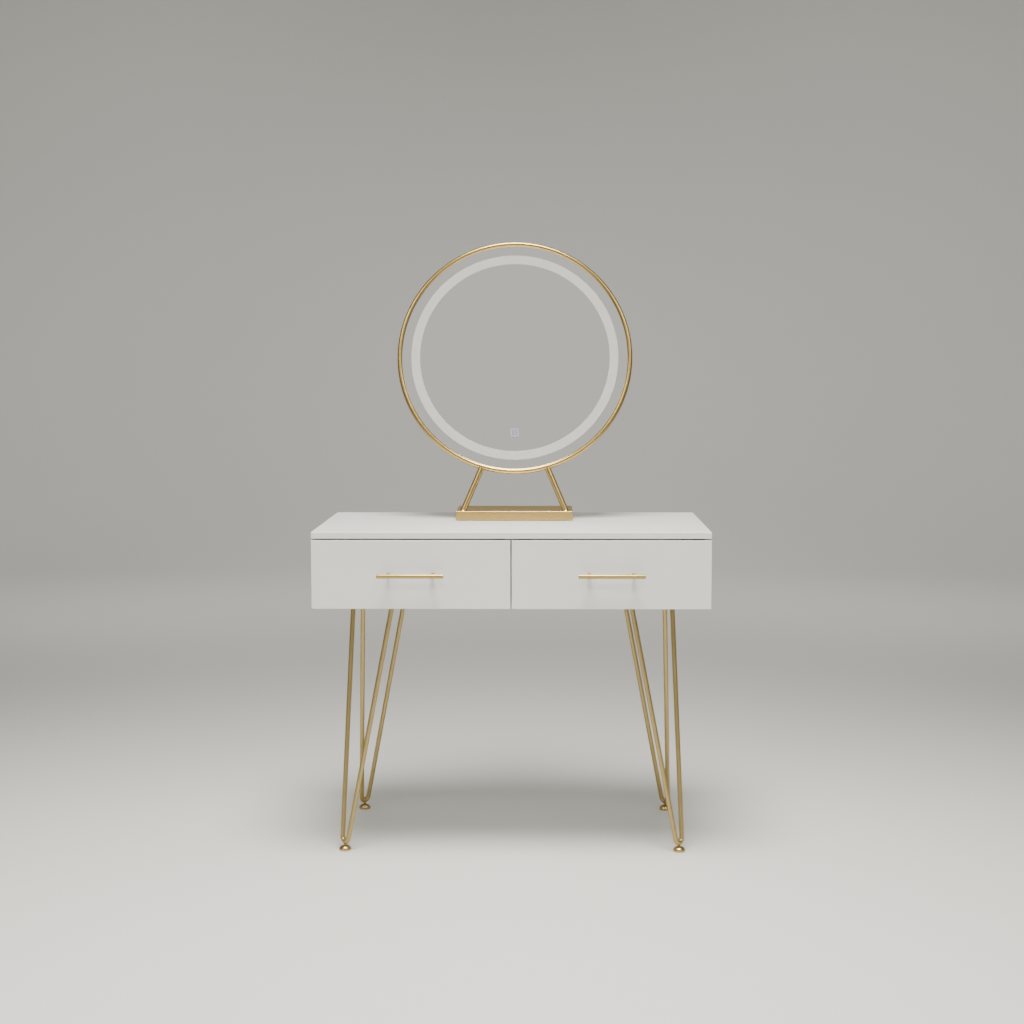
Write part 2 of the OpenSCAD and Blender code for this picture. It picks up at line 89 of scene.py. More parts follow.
class Paint:
    """A principled material with helpers for its procedural nodes, in object coordinates."""

    def __init__(self, name, color, roughness, **inputs):
        self.material = bpy.data.materials.new(name)
        self.material.use_nodes = True
        self.material.diffuse_color = (*color, 1)
        tree = self.material.node_tree
        self.nodes, self.links = tree.nodes, tree.links
        self.shader = self.nodes["Principled BSDF"]
        self.fill(self.shader, Base_Color=(*color, 1), Roughness=roughness, **inputs)
        self.where = self.nodes.new("ShaderNodeTexCoord").outputs["Object"]

    @staticmethod
    def fill(node, **inputs):
        """Sets a node's inputs, with an underscore for each space in a name."""
        for key, value in inputs.items():
            node.inputs[key.replace("_", " ")].default_value = value

    def add(self, kind, socket, source, **inputs):
        """Makes a node fed by a source, and sets its other inputs."""
        node = self.nodes.new(kind)
        self.links.new(source, node.inputs[socket])
        self.fill(node, **inputs)
        return node

    def stretched(self, scale):
        """Object coordinates scaled by a factor for each axis."""
        node = self.add("ShaderNodeMapping", "Vector", self.where, Scale=scale)
        return node.outputs["Vector"]

    def noise(self, scale, detail=3.0, where=None):
        node = self.add("ShaderNodeTexNoise", "Vector", where or self.where,
                        Scale=scale, Detail=detail)
        return node.outputs["Fac"]

    def cells(self, scale, output="Color"):
        node = self.add("ShaderNodeTexVoronoi", "Vector", self.where, Scale=scale)
        return node.outputs[output]

    def blend(self, source, first, second):
        """Colours the surface between two colours by a pattern."""
        node = self.add("ShaderNodeValToRGB", "Fac", source)
        set_ramp(node, PATTERN_SPAN, (first, second))
        self.links.new(node.outputs["Color"], self.shader.inputs["Base Color"])

    def rough(self, source, low, high):
        """Varies the roughness by a pattern."""
        node = self.add("ShaderNodeMapRange", "Value", source, To_Min=low, To_Max=high,
                        From_Min=PATTERN_SPAN[0], From_Max=PATTERN_SPAN[1])
        self.links.new(node.outputs["Result"], self.shader.inputs["Roughness"])

    def bump(self, source, height):
        """Adds relief of a height in metres."""
        node = self.add("ShaderNodeBump", "Height", source, Strength=1.0, Distance=height)
        self.links.new(node.outputs["Normal"], self.shader.inputs["Normal"])


def lacquer():
    """Sprayed satin lacquer: a faint orange peel, and a colour that is not quite even."""
    paint = Paint("white_lacquer", (0.80, 0.80, 0.785), 0.36,
                  Coat_Weight=0.12, Coat_Roughness=0.2)
    paint.blend(paint.noise(3.0, detail=2.0), (0.785, 0.785, 0.76), (0.812, 0.812, 0.789))
    paint.rough(paint.noise(22.0, detail=4.0), 0.33, 0.42)
    paint.bump(paint.noise(420.0, detail=2.0), height=0.00004)
    return paint.material


def melamine():
    """White foil on the drawer boxes: pressed with fine pores that run along the board."""
    paint = Paint("white_melamine", (0.74, 0.74, 0.72), 0.5)
    paint.blend(paint.noise(5.0), (0.715, 0.715, 0.695), (0.752, 0.752, 0.735))
    pores = paint.noise(160.0, detail=4.0, where=paint.stretched(ALONG_Y))
    paint.rough(pores, 0.45, 0.58)
    paint.bump(pores, height=0.00008)
    return paint.material


def gold(name, color, roughness, grain):
    """Champagne gold plating over metal that was brushed along its length."""
    paint = Paint(name, color, roughness, Metallic=1.0, Specular_Tint=(0.95, 0.80, 0.52, 1))
    paint.blend(paint.noise(9.0), shade(color, 0.95), color)
    brushing = paint.noise(1400.0, where=paint.stretched(grain))
    paint.rough(brushing, roughness - 0.03, roughness + 0.04)
    paint.bump(brushing, height=0.000004)
    return paint.material


def zinc(name, color, roughness):
    """Bright zinc: small crystals that catch the light differently."""
    paint = Paint(name, color, roughness, Metallic=1.0)
    crystals = paint.cells(700.0)
    paint.blend(crystals, shade(color, 0.9), color)
    paint.rough(crystals, roughness - 0.06, roughness + 0.08)
    paint.bump(paint.noise(300.0), height=0.00003)
    return paint.material


def beech():
    """Bare dowels with their fibres along the grain."""
    paint = Paint("beech", (0.60, 0.42, 0.24), 0.6)
    fibres = paint.noise(90.0, detail=5.0, where=paint.stretched((6.0, 6.0, 0.6)))
    paint.blend(fibres, (0.50, 0.33, 0.18), (0.66, 0.48, 0.29))
    paint.bump(fibres, height=0.0001)
    return paint.material


def plastic(name, color, roughness, darkest=0.85):
    """Moulded plastic with a fine spark-eroded grain."""
    paint = Paint(name, color, roughness)
    paint.blend(paint.noise(40.0), shade(color, darkest), color)
    grain = paint.noise(1800.0, detail=2.0)
    paint.rough(grain, roughness - 0.05, roughness + 0.07)
    paint.bump(grain, height=0.00003)
    return paint.material


def powder_coat():
    """Powder coat on sheet metal: a soft, slightly pebbled skin."""
    color = (0.72, 0.72, 0.71)
    paint = Paint("white_powder_coat", color, 0.48)
    paint.blend(paint.noise(6.0), shade(color, 0.965), color)
    pebbles = paint.noise(650.0)
    paint.rough(pebbles, 0.43, 0.56)
    paint.bump(pebbles, height=0.00008)
    return paint.material


def silvered_glass():
    """The mirror itself, never quite clean."""
    paint = Paint("silvered_glass", (0.965, 0.97, 0.965), 0.012, Metallic=1.0)
    paint.blend(paint.noise(2.0, detail=2.0), (0.955, 0.96, 0.955), (0.965, 0.97, 0.965))
    paint.rough(paint.noise(6.0, detail=5.0), 0.008, 0.018)
    return paint.material


def frosted_glass():
    """Sand-blasted stretch of the mirror, with the opal diffuser showing through and a faint
    painted glow that brightens it.
    """
    # The small emission is a painted glow, not a lit lamp: it only lifts the band's brightness.
    paint = Paint("frosted_glass", (0.56, 0.55, 0.505), 0.55,
                  Emission_Strength=0.03, Emission_Color=(1.0, 1.0, 0.95, 1))
    paint.blend(paint.noise(14.0, detail=4.0), (0.53, 0.521, 0.48), (0.56, 0.55, 0.508))
    sand = paint.noise(2600.0, detail=2.0)
    paint.rough(sand, 0.5, 0.62)
    paint.bump(sand, height=0.00002)
    return paint.material


def lit_symbol():
    """Violet ink on the glass with a little light behind it."""
    paint = Paint("lit_symbol", (0.62, 0.60, 0.74), 0.4,
                  Emission_Strength=0.18, Emission_Color=(0.72, 0.70, 1.0, 1))
    paint.blend(paint.noise(900.0, detail=2.0), (0.32, 0.315, 0.57), (0.35, 0.345, 0.62))
    return paint.material


def circuit_board():
    """Green solder mask with a faint pattern of copper runs under it."""
    paint = Paint("circuit_board", (0.02, 0.13, 0.06), 0.3, Coat_Weight=0.4)
    paint.blend(paint.cells(260.0), (0.015, 0.10, 0.045), (0.03, 0.19, 0.09))
    paint.bump(paint.cells(260.0, output="Distance"), height=0.0001)
    return paint.material


RING_GOLD = (0.60, 0.42, 0.155)
LEG_GOLD = (0.47, 0.357, 0.154)
FOOT_GOLD = (0.54, 0.41, 0.19)
HANDLE_GOLD = (0.48, 0.345, 0.14)
MATERIALS = {
    "lacquered_board": lacquer(),
    "drawer_box_board": melamine(),
    "zinc_fittings": zinc("zinc_plating", (0.62, 0.63, 0.64), 0.34),
    "slide_steel": zinc("slide_steel", (0.60, 0.61, 0.62), 0.3),
    "beech_dowels": beech(),
    "gold_leg_paint": gold("gold_leg", LEG_GOLD, 0.42, ALONG_Z),
    "gold_feet": gold("gold_foot", FOOT_GOLD, 0.27, EVEN),
    "gold_handles": gold("gold_handle", HANDLE_GOLD, 0.38, ALONG_X),
    "gold_mirror_frame": gold("gold_mirror", RING_GOLD, 0.26, EVEN),
    "base_plate_steel": zinc("plain_steel", (0.33, 0.33, 0.34), 0.45),
    "rubber_pads": plastic("black_rubber", (0.025, 0.025, 0.025), 0.75),
    "mirror_glass": silvered_glass(),
    "diffuser": plastic("opal_diffuser", (0.83, 0.83, 0.80), 0.45, darkest=0.97),
    "led_strip": plastic("strip_board", (0.80, 0.79, 0.72), 0.4, darkest=0.95),
    "back_cover": powder_coat(),
    "electronics": circuit_board(),
    "black_plastic": plastic("black_plastic", (0.02, 0.02, 0.02), 0.5),
    "lead_insulation": plastic("red_insulation", (0.40, 0.02, 0.02), 0.4),
}
FROSTED = frosted_glass()
SYMBOL = lit_symbol()


# ---------------------------------------------------------------- mesh tools

SAME_POINT = 1e-4  # profile points nearer than this are one point
NO_LENGTH = 1e-6


def turn_outward(mesh):
    """Makes every closed part of a mesh face outwards."""
    bmesh.ops.recalc_face_normals(mesh, faces=mesh.faces)
    left = set(mesh.faces)
    while left:
        part, found = set(), [left.pop()]
        while found:
            face = found.pop()
            part.add(face)
            near = {f for e in face.edges for f in e.link_faces} & left
            left -= near
            found += near
        zero = next(iter(part)).verts[0].co.copy()
        volume = sum(
            (fan[0] - zero).dot((b - zero).cross(c - zero))
            for fan in ([v.co for v in face.verts] for face in part)
            for b, c in zip(fan[1:], fan[2:]))
        if volume < 0:
            bmesh.ops.reverse_faces(mesh, faces=list(part))


def piece(name, mesh, body, slot, node=None, sharp=38, extra=(), even=False):
    """Turns a bmesh in millimetres into a piece that rides on a body and stands for a CAD node.

    Edges that turn by more than the sharp angle, in degrees, stay crisp. Even shading keeps
    large flat faces flat between rounded edges.
    """
    turn_outward(mesh)
    data = bpy.data.meshes.new(name)
    mesh.to_mesh(data)
    mesh.free()
    data.transform(Matrix.Scale(MM, 4))
    data.polygons.foreach_set("use_smooth", [True] * len(data.polygons))
    data.set_sharp_from_angle(angle=math.radians(sharp))
    for material in (MATERIALS[slot], *extra):
        data.materials.append(material)
    thing = bpy.data.objects.new(name, data)
    bpy.context.scene.collection.objects.link(thing)
    if even:
        shading = thing.modifiers.new("even_shading", "WEIGHTED_NORMAL")
        shading.keep_sharp, shading.weight = True, 100
    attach(thing, body)
    if node:
        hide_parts(node)
    return thing


def edges_at(verts):
    """The edges that meet at some vertices, each once and always in the same order."""
    return list(dict.fromkeys(edge for vert in verts for edge in vert.link_edges))


def add_block(mesh, low, high, radius, steps):
    """A box with rounded edges."""
    size = [high[i] - low[i] for i in range(3)]
    centre = [(high[i] + low[i]) / 2 for i in range(3)]
    place = Matrix.Translation(centre) @ Matrix.Diagonal((*size, 1))
    made = bmesh.ops.create_cube(mesh, size=1, matrix=place)["verts"]
    bmesh.ops.bevel(mesh, geom=edges_at(made), offset=radius, segments=steps, profile=0.5,
                    affect="EDGES")


def block(low, high, radius, steps):
    mesh = bmesh.new()
    add_block(mesh, low, high, radius, steps)
    return mesh


def add_lathe(mesh, profile, steps, place=None, closed=False):
    """Turns a list of (radius, height) points about the Z axis of a place."""
    place = place or Matrix()
    profile = [p for i, p in enumerate(profile)
               if i == 0 or math.dist(p, profile[i - 1]) > SAME_POINT]
    rings = []
    for radius, height in profile:
        if radius < NO_LENGTH:
            rings.append([mesh.verts.new(place @ Vector((0, 0, height)))])
            continue
        angles = (2 * math.pi * i / steps for i in range(steps))
        rings.append([
            mesh.verts.new(place @ Vector((radius * math.cos(a), radius * math.sin(a), height)))
            for a in angles
        ])
    pairs = list(zip(rings, rings[1:]))
    if closed:
        pairs.append((rings[-1], rings[0]))
    faces = []
    for first, second in pairs:
        for i in range(steps):
            j = (i + 1) % steps
            corners = [first[i % len(first)], first[j % len(first)],
                       second[j % len(second)], second[i % len(second)]]
            corners = list(dict.fromkeys(corners))
            if len(corners) > 2:
                faces.append(mesh.faces.new(corners))
    return faces


def lathe(profile, steps, place=None, closed=False):
    mesh = bmesh.new()
    add_lathe(mesh, profile, steps, place, closed)
    return mesh


def add_tube(mesh, path, radius, sides):
    """A round rod along a list of points, closed at both ends."""
    path = [Vector(p) for p in path]
    ahead = [(b - a).normalized() for a, b in zip(path, path[1:])]
    between = [(a + b).normalized() for a, b in zip(ahead, ahead[1:])]
    tangents = [ahead[0], *between, ahead[-1]]
    across = tangents[0].orthogonal().normalized()
    rings = []
    for point, tangent in zip(path, tangents):
        across = (across - tangent * across.dot(tangent)).normalized()
        other = tangent.cross(across)
        rings.append([
            mesh.verts.new(point + radius * (math.cos(a) * across + math.sin(a) * other))
            for a in (2 * math.pi * i / sides for i in range(sides))
        ])
    for first, second in zip(rings, rings[1:]):
        for i in range(sides):
            j = (i + 1) % sides
            mesh.faces.new([first[i], first[j], second[j], second[i]])
    mesh.faces.new(rings[0][::-1])
    mesh.faces.new(rings[-1])


def arc(centre, radius, start, end, steps):
    """Points on an arc in a plane, angles in degrees."""
    angles = (math.radians(start + (end - start) * i / steps) for i in range(steps + 1))
    return [(centre[0] + radius * math.cos(a), centre[1] + radius * math.sin(a))
            for a in angles]


def add_prism(mesh, outline, low, high, bevel, place=None):
    """A flat outline pushed from a low to a high Z, with its rims eased."""
    base = [mesh.verts.new(Vector((x, y, low))) for x, y in outline]
    face = mesh.faces.new(base)
    grown = bmesh.ops.extrude_face_region(mesh, geom=[face])["geom"]
    lifted = [g for g in grown if isinstance(g, bmesh.types.BMVert)]
    bmesh.ops.translate(mesh, vec=(0, 0, high - low), verts=lifted)
    made = base + lifted
    rims = [e for e in edges_at(made)
            if abs(e.verts[0].co.z - e.verts[1].co.z) < NO_LENGTH]
    done = bmesh.ops.bevel(mesh, geom=rims, offset=bevel, segments=2, profile=0.5,
                           affect="EDGES")
    made = dict.fromkeys([v for v in made if v.is_valid] + list(done["verts"]))
    bmesh.ops.transform(mesh, matrix=place or Matrix(), verts=list(made))


def cut(mesh, cutter):
    """Takes the second mesh out of the first. Both are used up."""
    things = []
    for part in (mesh, cutter):
        turn_outward(part)
        data = bpy.data.meshes.new("cut")
        part.to_mesh(data)
        part.free()
        things.append(bpy.data.objects.new("cut", data))
        bpy.context.scene.collection.objects.link(things[-1])
    body, tool = things
    modifier = body.modifiers.new("cut", "BOOLEAN")
    modifier.operation, modifier.object, modifier.solver = "DIFFERENCE", tool, "EXACT"
    shape = body.evaluated_get(bpy.context.evaluated_depsgraph_get())
    result = bmesh.new()
    result.from_mesh(shape.to_mesh())
    shape.to_mesh_clear()
    for thing in things:
        bpy.data.meshes.remove(thing.data)
    return result


def copy_into(mesh, source, place):
    """Adds a transformed copy of a bmesh."""
    twins = {v: mesh.verts.new(place @ v.co) for v in source.verts}
    for face in source.faces:
        mesh.faces.new([twins[v] for v in face.verts])


def facing(point, direction):
    """A place whose +Z looks along a direction."""
    turn = Vector(direction).to_track_quat("Z", "Y").to_matrix().to_4x4()
    return Matrix.Translation(point) @ turn


def cross_head(diameter, height):
    """A pan screw head with a cross recess, flat side at z = 0 and dome towards +Z."""
    radius, rim = diameter / 2, 0.35
    dome = [(0, 0), (radius, 0), (radius, height * rim)]
    dome += [(radius * math.cos(a), height * (rim + (1 - rim) * math.sin(a)))
             for a in (math.radians(t) for t in (18, 36, 54, 72))]
    dome.append((0, height))
    head = lathe(dome, steps=40)
    length, width, depth = diameter * 0.52, diameter * 0.12, height * 0.55
    for x, y in ((length / 2, width / 2), (width / 2, length / 2)):
        slot = block((-x, -y, height - depth), (x, y, 2 * height), radius=0.02, steps=1)
        head = cut(head, slot)
    return head


# ---------------------------------------------------------------- carcass and drawers

TOP_EDGE, FRONT_EDGE, BOARD_EDGE, SHEET_EDGE = 1.6, 1.2, 0.7, 0.3
HANDLE_EASE = 0.7
POST_COLLAR = 0.8
POST_SINK = 1.5  # how deep a post ends in the handle bar
RAILS = {  # depth of the C, sheet, and whether it opens towards the drawer
    "outer": (10.0, 1.2, True),
    "middle": (8.5, 1.0, True),
    "inner": (7.2, 1.2, False),
}
RAIL_BEND = 2.0
RAIL_RIM = 0.15


def board(name, node, body, slot, radius, steps=3):
    """A board with eased edges in the place of a CAD board."""
    piece(name, block(*box_mm(node), radius, steps), body, slot, node, even=True)


def dress_cad_nodes():
    """The hidden fittings stay as the CAD made them, each with its slot's material."""
    slots = {s["node"]: s["material_slot"] for s in frame["record"]["subparts"]}
    for name, node in frame["nodes"].items():
        node.data.materials.clear()
        node.data.materials.append(MATERIALS[slots[name]])


def carcass():
    """The table's boards. The divider has the drawer boxes' foil."""
    board("table_top", "top_board", "table", "lacquered_board", TOP_EDGE, steps=5)
    for node in ("side_panel_left", "side_panel_right", "bottom_panel", "back_panel"):
        board(f"{node}_board", node, "table", "lacquered_board", BOARD_EDGE)
    board("divider_panel_board", "divider_panel", "table", "drawer_box_board", BOARD_EDGE)


def drawer(side):
    """A drawer's front, box and handle."""
    body = f"{side}_drawer"
    board(f"{side}_front_panel", f"{side}_drawer_front", body, "lacquered_board", FRONT_EDGE,
          steps=4)
    for part in ("side_outer", "side_inner", "back", "bottom"):
        node = f"{side}_drawer_{part}"
        board(f"{node}_board", node, body, "drawer_box_board", SHEET_EDGE)
    handle(side, body)


def handle(side, body):
    """A round bar with eased ends, on two posts with a small collar at the front."""
    low, high = box_mm(f"{side}_handle_bar")
    centre = (low + high) / 2
    radius, length = (high.z - low.z) / 2, high.x - low.x
    flat = radius - HANDLE_EASE
    profile = [(0, 0), (flat, 0), *arc((flat, HANDLE_EASE), HANDLE_EASE, -90, 0, 4)]
    profile += [*arc((flat, length - HANDLE_EASE), HANDLE_EASE, 0, 90, 4), (0, length)]
    left_end = facing((low.x, centre.y, centre.z), (1, 0, 0))
    bar = lathe(profile, steps=48, place=left_end)
    piece(f"{side}_handle_rod", bar, body, "gold_handles", f"{side}_handle_bar")

    low, high = box_mm(f"{side}_handle_posts")
    radius, end = (high.z - low.z) / 2, high.y - centre.y - POST_SINK
    foot = radius + POST_COLLAR
    profile = [(0, 0), (foot, 0), (foot, POST_COLLAR)]
    profile += arc((foot, 2 * POST_COLLAR), POST_COLLAR, -90, -180, 3)
    profile += [(radius, end), (0, end)]
    posts = bmesh.new()
    for x in (low.x + radius, high.x - radius):
        foot_place = facing((x, high.y, centre.z), (0, -1, 0))
        add_lathe(posts, profile, steps=32, place=foot_place)
    piece(f"{side}_handle_stems", posts, body, "gold_handles", f"{side}_handle_posts")


def channel(width, height, sheet):
    """The closed outline of a C-shaped rail, web at x = 0 and open towards +x."""
    half, bend, inner = height / 2, RAIL_BEND, RAIL_BEND - sheet
    outline = [(width, -half), *arc((bend, bend - half), bend, -90, -180, 4)]
    outline += [*arc((bend, half - bend), bend, 180, 90, 4), (width, half)]
    outline += [(width, half - sheet), *arc((bend, half - bend), inner, 90, 180, 4)]
    outline += [*arc((bend, bend - half), inner, 180, 270, 4), (width, sheet - half)]
    return outline


def slide_rails(side, level, body):
    """The two rails on one level of a drawer's slides, open towards each other or apart."""
    node = f"{side}_slide_{level}_members"
    low, high = box_mm(node)
    width, sheet, to_drawer = RAILS[level]
    outline = channel(width, high.z - low.z, sheet)
    mesh = bmesh.new()
    for web, turn in ((low.x, 1), (high.x, -1)):
        if not to_drawer:
            web, turn = web + turn * width, -turn
        shape = [(x * turn, z) for x, z in outline]
        place = Matrix.Translation((web, high.y, (low.z + high.z) / 2))
        place = place @ Matrix.Rotation(math.pi / 2, 4, "X")
        add_prism(mesh, shape, 0, high.y - low.y, RAIL_RIM, place)
    piece(f"{side}_slide_{level}_rails", mesh, body, "slide_steel", node, even=True)


# ---------------------------------------------------------------- legs and feet

ROD = 11.0
BEND = 10.8
BEND_LOW = 20.5  # middle of the rod at the bottom of the bend
ROD_SPREAD = (112.7, 12.6)  # where a leg's two rods meet the plate, far and near from the foot
PLATE = 4.0
PLATE_CORNERS = [(-4, -4), (132, -4), (132, 30), (30, 132), (-4, 132)]
PLATE_CORNER_R, PLATE_EDGE = 4.0, 0.4
PLATE_HOLES = [(10, 10), (62, 10), (10, 62), (72, 72)]
SCREW_STEP, SCREW_TURN = 0.7, {"left": 1.2, "right": 1.5}  # how far each is driven, radians
# A weld's section: how far out from the rod's surface, and how far up from the plate.
WELD = [(-0.4, 0.4), (2.6, 0.4), (2.5, -0.8), (1.4, -1.9), (0.3, -3.2), (-0.4, -3.6)]
WELD_FACE = 0.3  # below this the bead shows and is rippled
WELD_RIPPLES, RIPPLE_SIZE, LUMP_SIZE, LUMP_SCALE = 11, 0.035, 0.04, 0.5
STUD_R, STUD_POINT = 3.0, 0.6
BORE_R, BORE_TOP = STUD_R + 0.05, 60
FOOT_TOP, FOOT_RIM, FOOT_EASE = 12.5, 3.0, 0.8
NECK_R = STUD_R * 1.44  # where a foot's dome ends in the collar round its stud
FOOT_COLLAR = [(0.6, 0.3), (-0.1, 0.8)]  # out from the stud, and up from the dome's end
THREAD_PITCH, THREAD_DEPTH, THREAD_GAP = 1.0, 0.35, 1.2


def leg_mesh(plate_low):
    """One hairpin leg round its own foot at the origin, x and y towards the table's middle."""
    far, near = ROD_SPREAD
    rise = plate_low + PLATE / 3 - BEND_LOW
    run = (far + near) / math.sqrt(2)
    spread = (far - near) * math.sqrt(2)
    up = Vector((run / math.sqrt(2), run / math.sqrt(2), rise)).normalized()
    across = Vector((1, -1, 0)).normalized()
    length = math.hypot(run, rise)
    reach = math.hypot(length - BEND, spread / 2)
    lean = math.atan2(spread / 2, length - BEND) - math.asin(BEND / reach)
    arm = math.sqrt(reach * reach - BEND * BEND)
    foot = Vector((0, 0, BEND_LOW))
    tilt = math.degrees(lean)
    turn = [foot + across * x + up * (y + BEND)
            for x, y in arc((0, 0), BEND, -tilt, tilt - 180, 28)]
    ends = [turn[0] + (across * math.sin(lean) + up * math.cos(lean)) * arm,
            turn[-1] + (-across * math.sin(lean) + up * math.cos(lean)) * arm]
    mesh = bmesh.new()
    add_tube(mesh, [ends[0], *turn, ends[1]], ROD / 2, sides=32)
    bore = lathe([(0, 0), (BORE_R, 0), (BORE_R, BORE_TOP), (0, BORE_TOP)], steps=32)
    mesh = cut(mesh, bore)
    for end, start in ((ends[0], turn[0]), (ends[1], turn[-1])):
        add_weld(mesh, end, (end - start).normalized(), plate_low)
    return mesh


def add_weld(mesh, end, along, plate_low):
    """A rippled weld bead where a rod meets the plate."""
    spot = end - along * ((end.z - plate_low) / along.z)
    bead = lathe([(ROD / 2 + out, height) for out, height in WELD], steps=48, closed=True)
    for vert in bead.verts:
        angle = math.atan2(vert.co.y, vert.co.x)
        lump = noise.noise(vert.co * LUMP_SCALE + spot)
        if vert.co.z < WELD_FACE and vert.co.xy.length > ROD / 2:
            vert.co.xy *= 1 + RIPPLE_SIZE * math.sin(WELD_RIPPLES * angle) + LUMP_SIZE * lump
    copy_into(mesh, bead, Matrix.Translation(spot))
    bead.free()


def plate_outline():
    """The plate's outline round the foot, with its corners rounded."""
    count, steps = len(PLATE_CORNERS), 6
    outline = []
    for i, corner in enumerate(PLATE_CORNERS):
        here = Vector(corner)
        back = (Vector(PLATE_CORNERS[i - 1]) - here).normalized()
        on = (Vector(PLATE_CORNERS[(i + 1) % count]) - here).normalized()
        half = back.angle(on) / 2
        trim = PLATE_CORNER_R / math.tan(half)
        centre = here + (back + on).normalized() * (PLATE_CORNER_R / math.sin(half))
        start, end = here + back * trim - centre, here + on * trim - centre
        angle = start.angle_signed(end)
        for k in range(steps + 1):
            outline.append(tuple(centre + Matrix.Rotation(-angle * k / steps, 2) @ start))
    return outline


def corner_place(end, side):
    """Puts a mesh made round a foot at the origin at one corner of the table."""
    foot = middle(f"{end}_{side}_foot")
    flip_x = 1 if side == "left" else -1
    flip_y = 1 if end == "front" else -1
    return Matrix.Translation((foot.x, foot.y, 0)) @ Matrix.Diagonal((flip_x, flip_y, 1, 1))


def legs():
    """Four legs with their plates, and the heads of the screws that hold the plates."""
    plate_top = box_mm("front_left_leg")[1].z
    plate_low = plate_top - PLATE
    rods = leg_mesh(plate_low)
    plate = bmesh.new()
    add_prism(plate, plate_outline(), plate_low, plate_top, PLATE_EDGE)
    head = cross_head(diameter=9.0, height=2.5)
    screws = bmesh.new()
    for end, side in CORNERS:
        place = corner_place(end, side)
        leg = bmesh.new()
        copy_into(leg, rods, place)
        copy_into(leg, plate, place)
        piece(f"{end}_{side}_hairpin", leg, "table", "gold_leg_paint", f"{end}_{side}_leg",
              even=True)
        for number, (x, y) in enumerate(PLATE_HOLES):
            down = facing((x, y, plate_low), (0, 0, -1))
            spin = Matrix.Rotation(SCREW_STEP * number + SCREW_TURN[side], 4, "Z")
            copy_into(screws, head, place @ down @ spin)
    for part in (rods, plate, head):
        part.free()
    piece("leg_screw_heads", screws, "table", "gold_leg_paint", "leg_screws", sharp=30)


def feet():
    """Domed levelling feet, each turned with its threaded stud."""
    low, high = box_mm("front_left_foot")
    radius = (high.x - low.x) / 2
    flat = radius - FOOT_EASE
    profile = [(0, 0), (flat, 0), *arc((flat, FOOT_EASE), FOOT_EASE, -90, 0, 4)]
    stop = math.degrees(math.acos(NECK_R / radius))
    profile += [(x, FOOT_RIM + y * (FOOT_TOP - FOOT_RIM) / radius)
                for x, y in arc((0, 0), radius, 0, stop, 18)]
    neck = profile[-1][1]
    profile += [(STUD_R + out, neck + rise) for out, rise in FOOT_COLLAR]
    thread = neck + THREAD_GAP
    while thread < high.z - THREAD_GAP:
        profile += [(STUD_R - THREAD_DEPTH, thread), (STUD_R, thread + THREAD_PITCH / 2)]
        thread += THREAD_PITCH
    profile += [(STUD_R - STUD_POINT, high.z), (0, high.z)]
    for end, side in CORNERS:
        node = f"{end}_{side}_foot"
        foot = middle(node)
        mesh = lathe(profile, steps=64, place=Matrix.Translation((foot.x, foot.y, 0)))
        piece(f"{end}_{side}_glide", mesh, node, "gold_feet", node)


# ---------------------------------------------------------------- mirror
# The mirror's parts are made in its own frame: x right, y up the glass, z out of the glass.

LEAN = math.radians(11)
RING_R, TUBE_R = 279.0, 6.0
GLASS_R, GLASS_EASE = 275.0, 0.6
GLASS_FRONT, GLASS_BACK = 2.0, -2.0
SEAT_R = GLASS_R + 0.2  # the step in the ring that holds the glass
SEAT_BACK = -5.5  # the flat on the back of the ring, where the cover is screwed on
BAND = (230.0, 251.0)  # inner and outer radius of the frosted ring
PANE_RINGS = [0, 60, 120, 180, 215, *BAND, 263, GLASS_R - GLASS_EASE]
SYMBOL_Y = -185.1
SYMBOL_HALF, SYMBOL_LINE, SYMBOL_CORNERS = 9.3, 2.2, (1.3, 0.4)
SYMBOL_FRONT, SYMBOL_BACK = GLASS_FRONT + 0.12, GLASS_FRONT - 0.2
DASH_HALF_LENGTH, DASH_HALF_WIDTH, DASH_OFFSET = 3.0, 0.8, 2.2
STRUT_R, STRUT_FOOT_X, STRUT_HEAD_X = 7.0, 123.5, 78.0
STRUT_START, STRUT_SPARE = 3.5, 12  # a strut starts in the ring and is cut off at the base
STRUT_WELD = [(-0.3, -0.2), (1.5, -0.2), (1.3, 0.5), (0.5, 1.3), (-0.3, 2.2)]  # as WELD
SHELL_WALL, SHELL_EDGE, SHELL_INNER_EDGE = 1.5, 1.3, 1.0
POCKET_DROP = 5  # the cutter for the shell's inside starts this far below it
SOLE_GAP, SOLE_EDGE = 0.1, 1.0
PAD_R, PAD_EASE = 9.0, 0.3
COVER_R, COVER_DEPTH, COVER_SHEET, FLANGE_R = 263.0, 20.0, 1.2, 281.4
COVER_SOFT, FLANGE_BEND = 5.0, 1.5  # radii of the cover's outer bend and of the flange's
SWAGE_IN, SWAGE_OUT, SWAGE_SLOPE, SWAGE_RISE = 150, 178, 3, 1.0
COVER_SCREWS = 8


def mirror_place():
    """Where the mirror's own frame lies on the table."""
    glass = middle("mirror_glass")
    spot = Matrix.Translation((glass.x, glass.y, middle("ring_frame").z))
    return spot @ Matrix.Rotation(math.pi / 2 - LEAN, 4, "X")


def mirror_ring(place):
    """The ring's tube, cut flat behind for the cover and stepped inside for the glass."""
    flat = math.degrees(math.asin(SEAT_BACK / TUBE_R))
    lip = math.degrees(math.acos((SEAT_R - RING_R) / TUBE_R))
    lip_front = 180 - math.degrees(math.asin(GLASS_FRONT / TUBE_R))
    profile = arc((RING_R, 0), TUBE_R, flat, lip_front, 36)
    profile += [(SEAT_R, GLASS_FRONT)]
    profile += arc((RING_R, 0), TUBE_R, 360 - lip, 180 - flat, 4)
    mesh = lathe(profile, steps=256, place=place, closed=True)
    piece("ring_tube", mesh, "mirror", "gold_mirror_frame", "ring_frame")


